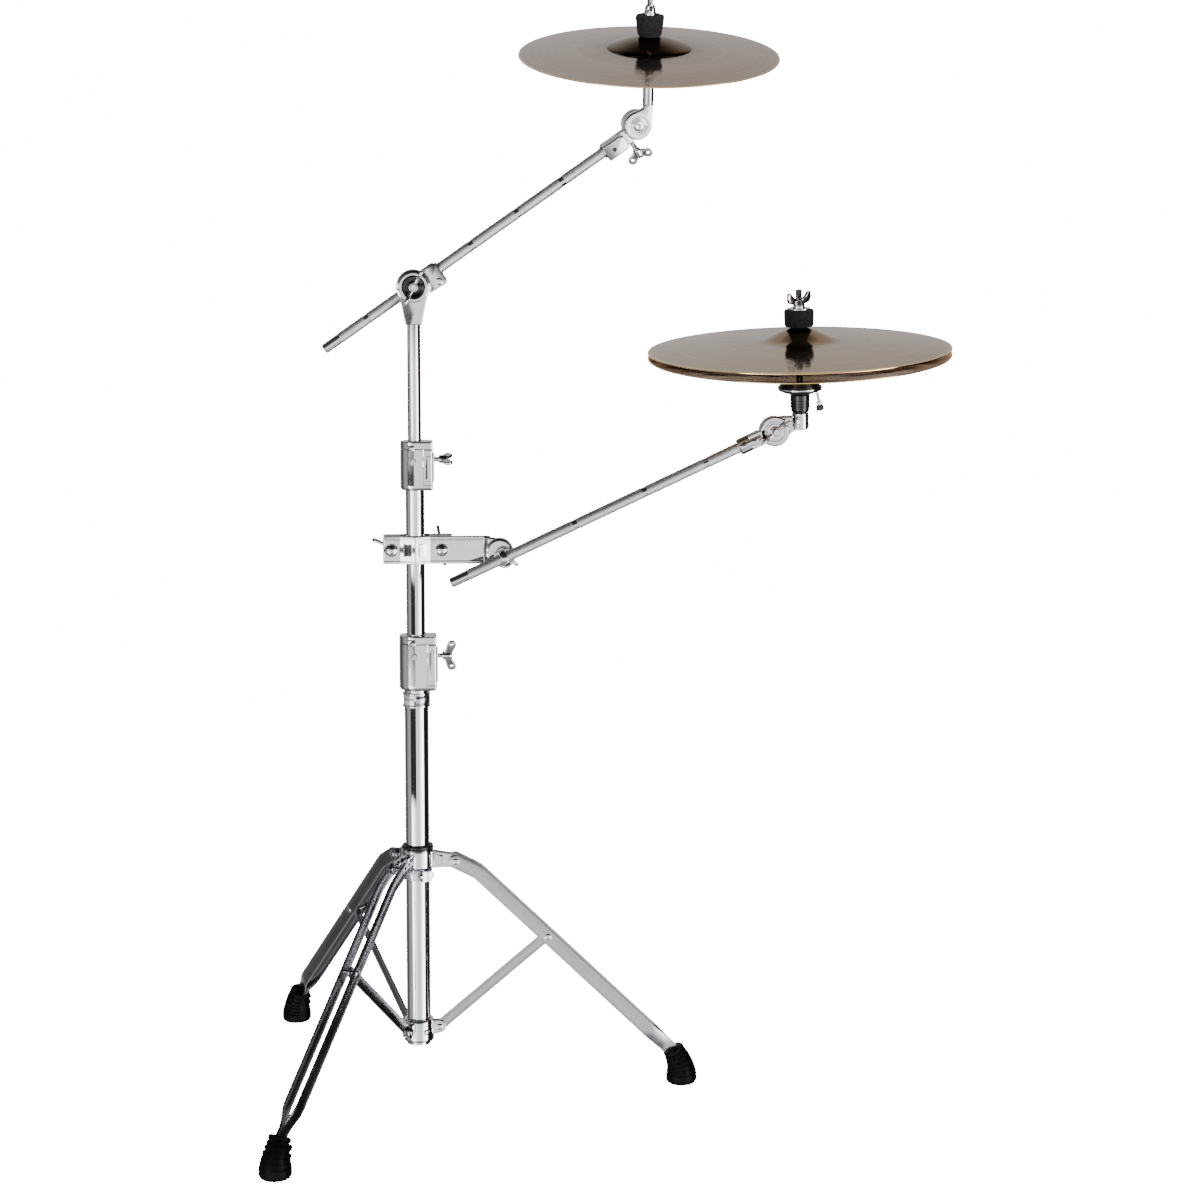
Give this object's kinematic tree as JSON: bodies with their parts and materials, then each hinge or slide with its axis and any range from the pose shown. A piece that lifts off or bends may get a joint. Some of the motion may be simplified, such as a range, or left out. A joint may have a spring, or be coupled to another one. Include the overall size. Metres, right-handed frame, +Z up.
{
  "type": "cymbal stand with boom cymbal and hi-hat",
  "caption": "Double-braced tripod boom stand with a boom cymbal above and, on a clamped side arm, a closed pair of hi-hat cymbals.",
  "frame": {"origin": "where the stand's main tube axis meets the floor", "axes": "+Z up the main tube; +X the way the boom and the hi-hat arm reach; the stand is seen from -Y"},
  "size_m": [0.8051, 0.5878, 1.3055],
  "materials": {
    "chrome_tube": "mirror chrome plate on steel tube",
    "chrome_casting": "polished chrome plate on die castings",
    "chrome_strip": "satin chrome plate on rolled steel strip",
    "chrome_hardware": "bright chrome on wing nuts, bolts and wing screws",
    "threaded_steel": "plated screw thread",
    "zinc": "bright blue-white zinc plate",
    "knurled_rod": "fine diamond knurl with three smooth marks",
    "badge": "ribbed band",
    "rubber_boot": "ribbed black rubber",
    "nylon": "black nylon",
    "black_plastic": "semi-gloss black plastic",
    "felt": "pressed wool felt",
    "bronze": "brilliant, hand-hammered and lathed bell bronze"
  },
  "bodies": {
    "stand": {"lower_tube": "chrome_tube", "base_bracket": "chrome_casting", "stop_ring": "zinc", "badge_band": "badge", "lower_clamp": "chrome_casting", "lower_clamp_screws": "zinc"},
    "brace_arm_1": {"brace_1": "chrome_strip"},
    "leg_arm_1": {"leg_1": "chrome_strip", "foot_1": "rubber_boot"},
    "leg_collar": {"collar": "chrome_casting", "collar_bush": "nylon"},
    "leg_arm_2": {"leg_2": "chrome_strip", "foot_2": "rubber_boot"},
    "leg_arm_3": {"leg_3": "chrome_strip", "foot_3": "rubber_boot"},
    "brace_arm_2": {"brace_2": "chrome_strip"},
    "brace_arm_3": {"brace_3": "chrome_strip"},
    "lower_clamp_jaw": {"lower_jaw": "chrome_casting"},
    "lower_clamp_wing": {"lower_wing_screw": "chrome_hardware"},
    "lower_swivel_bush": {"lower_bush": "nylon"},
    "middle_section": {"middle_tube": "chrome_tube", "upper_clamp": "chrome_casting", "upper_clamp_screws": "zinc"},
    "upper_clamp_jaw": {"upper_jaw": "chrome_casting"},
    "upper_clamp_wing": {"upper_wing_screw": "chrome_hardware"},
    "upper_swivel_bush": {"upper_bush": "nylon"},
    "upper_section": {"upper_tube": "chrome_tube", "tilter_post": "chrome_casting"},
    "boom_tilter": {"tilter_drum": "chrome_casting", "rod_clamp_bolt": "chrome_hardware", "tilter_bolt": "chrome_hardware"},
    "boom_tilter_nut": {"tilter_wing_nut": "chrome_hardware"},
    "boom": {"boom_rod": "knurled_rod"},
    "boom_end": {"boom_socket": "chrome_casting"},
    "cymbal_tilter": {"boom_head": "chrome_casting"},
    "cymbal_tilter_wing": {"boom_wing_screw": "chrome_hardware"},
    "boom_sleeve_and_felts": {"boom_sleeve": "nylon", "boom_lower_felt": "felt", "boom_upper_felt": "felt"},
    "boom_cymbal_plate": {"boom_cymbal": "bronze"},
    "boom_top_nut": {"boom_wing_nut": "chrome_hardware"},
    "multi_clamp": {"clamp_arm": "chrome_strip", "clamp_plate": "chrome_strip", "clamp_bolts": "chrome_hardware"},
    "multi_clamp_nut_1": {"clamp_nut_1": "chrome_hardware"},
    "multi_clamp_nut_2": {"clamp_nut_2": "chrome_hardware"},
    "rod_holder": {"rod_saddle": "chrome_hardware", "eye_bolt": "chrome_hardware"},
    "rod_holder_nut": {"eye_nut": "chrome_hardware"},
    "hat_arm": {"hat_rod": "knurled_rod"},
    "hat_arm_end": {"hat_socket": "chrome_casting"},
    "hat_tilter": {"hat_head": "chrome_casting", "hat_seat": "black_plastic", "hat_stem": "threaded_steel", "hat_felt": "felt"},
    "hat_tilter_nut": {"hat_wing_nut": "chrome_hardware"},
    "seat_screw": {"hat_seat_screw": "black_plastic"},
    "bottom_cymbal": {"bottom_hat": "bronze"},
    "top_cymbal": {"top_hat": "bronze"},
    "hat_top_nut": {"hat_nut": "chrome_hardware"}
  },
  "joints": [
    {"name": "leg_fold", "type": "hinge", "parent": "stand", "child": "brace_arm_1", "pos_m": [0.025, 0, 0.077], "axis": [0, -1, 0], "range_deg": [0, 38.65]},
    {"name": "leg_1_pivot", "type": "hinge", "parent": "brace_arm_1", "child": "leg_arm_1", "pos_m": [0.15542, 0, 0.18626], "axis": [0, 1, 0], "range_deg": [0, 82.75]},
    {"name": "collar_pivot", "type": "hinge", "parent": "leg_arm_1", "child": "leg_collar", "pos_m": [0.045, 0, 0.281], "axis": [0, -1, 0], "range_deg": [0, 44.1]},
    {"name": "leg_2_pivot", "type": "hinge", "parent": "leg_collar", "child": "leg_arm_2", "pos_m": [-0.0225, 0.03897, 0.281], "axis": [-0.866, -0.5, 0], "range_deg": [0, 44.1]},
    {"name": "brace_2_pivot", "type": "hinge", "parent": "stand", "child": "brace_arm_2", "pos_m": [-0.0125, 0.02165, 0.077], "axis": [0.866, 0.5, 0], "range_deg": [0, 38.75]},
    {"name": "leg_3_pivot", "type": "hinge", "parent": "leg_collar", "child": "leg_arm_3", "pos_m": [-0.0225, -0.03897, 0.281], "axis": [0.866, -0.5, 0], "range_deg": [0, 44.1]},
    {"name": "brace_3_pivot", "type": "hinge", "parent": "stand", "child": "brace_arm_3", "pos_m": [-0.0125, -0.02165, 0.077], "axis": [-0.866, 0.5, 0], "range_deg": [0, 38.75]},
    {"name": "lower_wing_turn", "type": "hinge", "parent": "stand", "child": "lower_clamp_wing", "pos_m": [0.031, -0.009, 0.53095], "axis": [1, 0, 0], "range_deg": [0, 720]},
    {"name": "lower_jaw_open", "type": "hinge", "parent": "stand", "child": "lower_clamp_jaw", "pos_m": [0.021, 0.012, 0.5225], "axis": [0, 0, 1], "range_deg": [0, 2.1]},
    {"name": "middle_swivel", "type": "hinge", "parent": "stand", "child": "lower_swivel_bush", "pos_m": [0, 0, 0.52], "axis": [0, 0, 1], "continuous": true},
    {"name": "middle_slide", "type": "slide", "parent": "lower_swivel_bush", "child": "middle_section", "axis": [0, 0, 1], "range_m": [-0.025, 0.18]},
    {"name": "upper_wing_turn", "type": "hinge", "parent": "middle_section", "child": "upper_clamp_wing", "pos_m": [0.028, -0.00765, 0.76454], "axis": [1, 0, 0], "range_deg": [0, 720]},
    {"name": "upper_jaw_open", "type": "hinge", "parent": "middle_section", "child": "upper_clamp_jaw", "pos_m": [0.018, 0.009, 0.757], "axis": [0, 0, 1], "range_deg": [0, 2.1]},
    {"name": "upper_swivel", "type": "hinge", "parent": "middle_section", "child": "upper_swivel_bush", "pos_m": [0, 0, 0.758], "axis": [0, 0, 1], "continuous": true},
    {"name": "upper_slide", "type": "slide", "parent": "upper_swivel_bush", "child": "upper_section", "axis": [0, 0, 1], "range_m": [-0.115, 0.12]},
    {"name": "boom_tilt", "type": "hinge", "parent": "upper_section", "child": "boom_tilter", "pos_m": [0, 0.017, 0.966], "axis": [0, -1, 0], "range_deg": [-20, 55]},
    {"name": "boom_tilter_nut_turn", "type": "hinge", "parent": "boom_tilter", "child": "boom_tilter_nut", "pos_m": [0, -0.0114, 0.966], "axis": [0, -1, 0], "continuous": true},
    {"name": "boom_slide", "type": "slide", "parent": "boom_tilter", "child": "boom", "axis": [0.8192, 0, 0.5736], "range_m": [-0.1, 0.08]},
    {"name": "boom_roll", "type": "hinge", "parent": "boom", "child": "boom_end", "pos_m": [0.22936, 0.017, 1.1266], "axis": [0.8192, 0, 0.5736], "range_deg": [-70, 70]},
    {"name": "cymbal_tilt", "type": "hinge", "parent": "boom_end", "child": "cymbal_tilter", "pos_m": [0.26287, 0.01539, 1.15546], "axis": [-0.1962, 0.9397, 0.2802], "range_deg": [-35, 50]},
    {"name": "cymbal_tilter_wing_turn", "type": "hinge", "parent": "boom_end", "child": "cymbal_tilter_wing", "pos_m": [0.26325, 0.02885, 1.12702], "axis": [0.539, 0.342, -0.7698], "continuous": true},
    {"name": "boom_cymbal_spin", "type": "hinge", "parent": "cymbal_tilter", "child": "boom_sleeve_and_felts", "pos_m": [0.27545, -0.01119, 1.24627], "axis": [-0.0059, -0.2868, 0.958], "continuous": true},
    {"name": "boom_cymbal_rock", "type": "hinge", "parent": "boom_sleeve_and_felts", "child": "boom_cymbal_plate", "pos_m": [0.2754, -0.01348, 1.25393], "axis": [0.9806, 0.1863, 0.0618], "range_deg": [-3, 3]},
    {"name": "boom_top_nut_turn", "type": "hinge", "parent": "cymbal_tilter", "child": "boom_top_nut", "pos_m": [0.27524, -0.02134, 1.28018], "axis": [-0.0059, -0.2868, 0.958], "continuous": true},
    {"name": "multi_clamp_slide", "type": "slide", "parent": "middle_section", "child": "multi_clamp", "axis": [0, 0, 1], "range_m": [-0.055, 0.04]},
    {"name": "multi_clamp_nut_1_turn", "type": "hinge", "parent": "multi_clamp", "child": "multi_clamp_nut_1", "pos_m": [-0.028, 0.0125, 0.6575], "axis": [0, 1, 0], "continuous": true},
    {"name": "multi_clamp_nut_2_turn", "type": "hinge", "parent": "multi_clamp", "child": "multi_clamp_nut_2", "pos_m": [0.031, 0.0125, 0.6575], "axis": [0, 1, 0], "continuous": true},
    {"name": "hat_arm_swing", "type": "hinge", "parent": "multi_clamp", "child": "rod_holder", "pos_m": [0.104, -0.034, 0.65], "axis": [0, -1, 0], "range_deg": [-50, 15]},
    {"name": "rod_holder_nut_turn", "type": "hinge", "parent": "rod_holder", "child": "rod_holder_nut", "pos_m": [0.104, -0.0066, 0.65], "axis": [0, 1, 0], "continuous": true},
    {"name": "hat_rod_slide", "type": "slide", "parent": "rod_holder", "child": "hat_arm", "axis": [0.907, 0, 0.421], "range_m": [-0.18, 0.05]},
    {"name": "hat_rod_roll", "type": "hinge", "parent": "hat_arm", "child": "hat_arm_end", "pos_m": [0.38518, -0.034, 0.78052], "axis": [0.907, 0, 0.421], "range_deg": [-60, 60]},
    {"name": "hat_tilt", "type": "hinge", "parent": "hat_arm_end", "child": "hat_tilter", "pos_m": [0.42146, -0.034, 0.79736], "axis": [0, 1, 0], "range_deg": [-35, 40]},
    {"name": "hat_tilter_nut_turn", "type": "hinge", "parent": "hat_tilter", "child": "hat_tilter_nut", "pos_m": [0.42146, -0.0434, 0.79736], "axis": [0, -1, 0], "continuous": true},
    {"name": "bottom_cymbal_tilt", "type": "hinge", "parent": "hat_tilter", "child": "bottom_cymbal", "pos_m": [0.45064, -0.03752, 0.86665], "axis": [-0.0033, 0.9954, 0.0958], "range_deg": [-0.6, 0.6]},
    {"name": "seat_screw_turn", "type": "hinge", "parent": "hat_tilter", "child": "seat_screw", "pos_m": [0.47199, -0.03512, 0.84249], "axis": [0.2078, 0.0944, -0.9736], "range_deg": [-360, 360]},
    {"name": "top_cymbal_spin", "type": "hinge", "parent": "hat_tilter", "child": "top_cymbal", "pos_m": [0.44972, -0.04006, 0.89301], "axis": [-0.0347, -0.0958, 0.9948], "continuous": true},
    {"name": "hat_top_nut_turn", "type": "hinge", "parent": "hat_tilter", "child": "hat_top_nut", "pos_m": [0.44805, -0.04467, 0.94086], "axis": [-0.0347, -0.0958, 0.9948], "continuous": true}
  ],
  "couplings": [
    {"joint": "leg_1_pivot", "follows": "leg_fold", "ratio": 2.1384},
    {"joint": "collar_pivot", "follows": "leg_fold", "ratio": 1.1384},
    {"joint": "leg_2_pivot", "follows": "leg_fold", "ratio": 1.1384},
    {"joint": "brace_2_pivot", "follows": "leg_fold", "ratio": 1},
    {"joint": "leg_3_pivot", "follows": "leg_fold", "ratio": 1.1384},
    {"joint": "brace_3_pivot", "follows": "leg_fold", "ratio": 1},
    {"joint": "lower_jaw_open", "follows": "lower_wing_turn", "ratio": 0.0027778},
    {"joint": "upper_jaw_open", "follows": "upper_wing_turn", "ratio": 0.0027778},
    {"joint": "seat_screw_turn", "follows": "bottom_cymbal_tilt", "ratio": 600}
  ]
}
